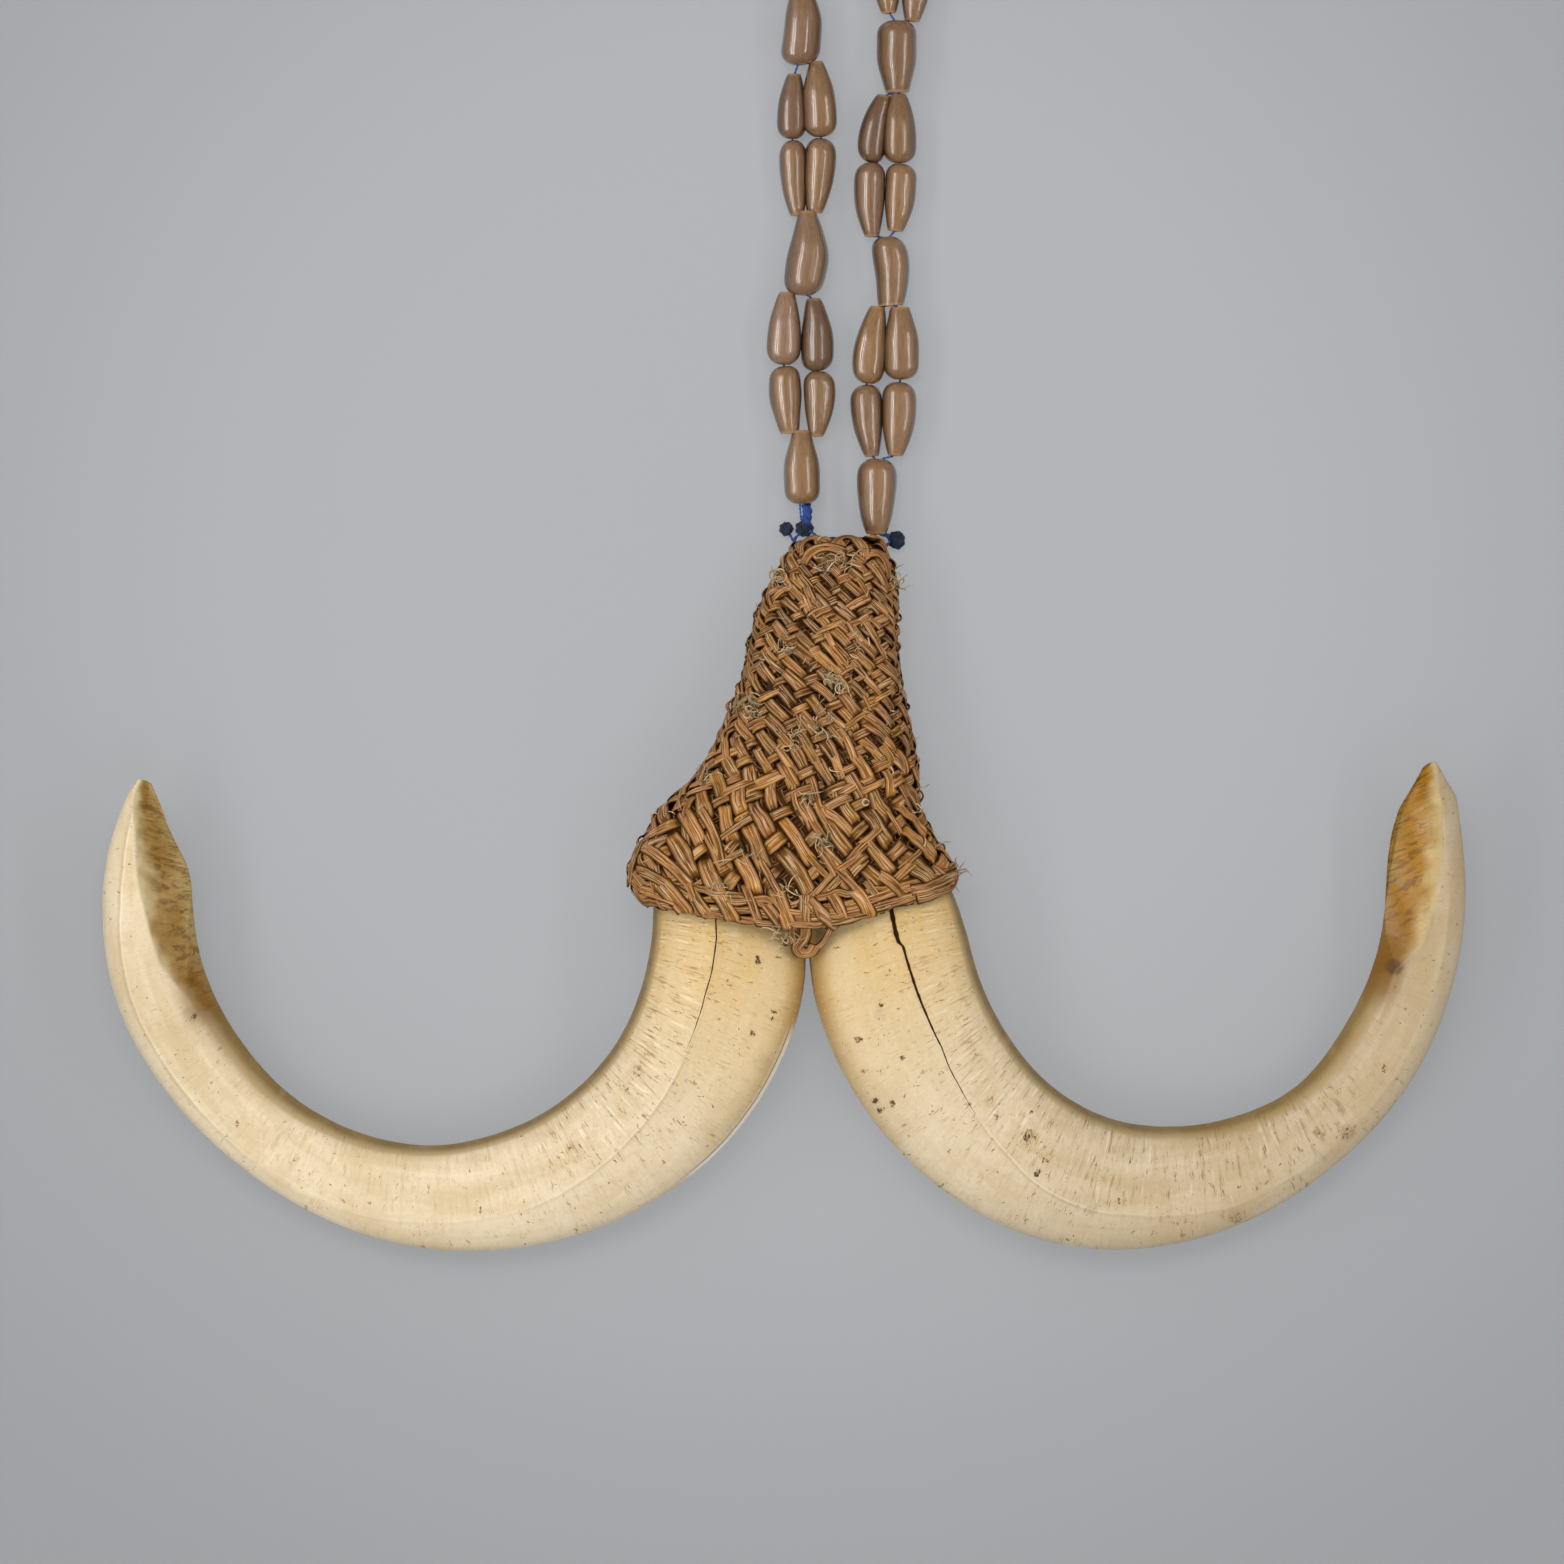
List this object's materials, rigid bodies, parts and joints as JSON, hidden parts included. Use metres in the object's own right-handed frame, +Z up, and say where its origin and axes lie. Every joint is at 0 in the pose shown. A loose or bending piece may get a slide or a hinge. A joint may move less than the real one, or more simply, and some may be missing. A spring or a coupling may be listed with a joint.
{
  "type": "boar tusk pendant",
  "caption": "Full-curve boar tusks held at their roots in a plaited cane sleeve, hung on double strands of glossy seeds on blue thread.",
  "frame": {"origin": "on the surface that the pendant lies on, below the middle of the tusks and the sleeve", "axes": "+X across both tusks, +Y from the tusks' arcs to the seed strands, +Z up from the surface"},
  "size_m": [0.2178, 0.2254, 0.0223],
  "materials": {
    "tusk": "satin",
    "cane": "matte",
    "seed": "gloss",
    "thread": "matte",
    "knot": "matte"
  },
  "bodies": {
    "root": {"tusk_left": "tusk", "tusk_right": "tusk", "sleeve": "cane", "seed_left_01": "seed", "seed_left_02": "seed", "seed_left_03": "seed", "seed_left_04": "seed", "seed_left_05": "seed", "seed_left_06": "seed", "seed_left_07": "seed", "seed_left_08": "seed", "seed_left_09": "seed", "seed_left_10": "seed", "seed_left_11": "seed", "seed_right_01": "seed", "seed_right_02": "seed", "seed_right_03": "seed", "seed_right_04": "seed", "seed_right_05": "seed", "seed_right_06": "seed", "seed_right_07": "seed", "seed_right_08": "seed", "seed_right_09": "seed", "seed_right_10": "seed", "seed_right_11": "seed", "seed_right_12": "seed", "seed_right_13": "seed", "thread_left_outer": "thread", "thread_left_inner": "thread", "thread_right_inner": "thread", "thread_right_outer": "thread", "knot_left_outer": "knot", "knot_left_inner": "knot", "knot_right": "knot", "knot_loop": "knot"}
  },
  "joints": []
}
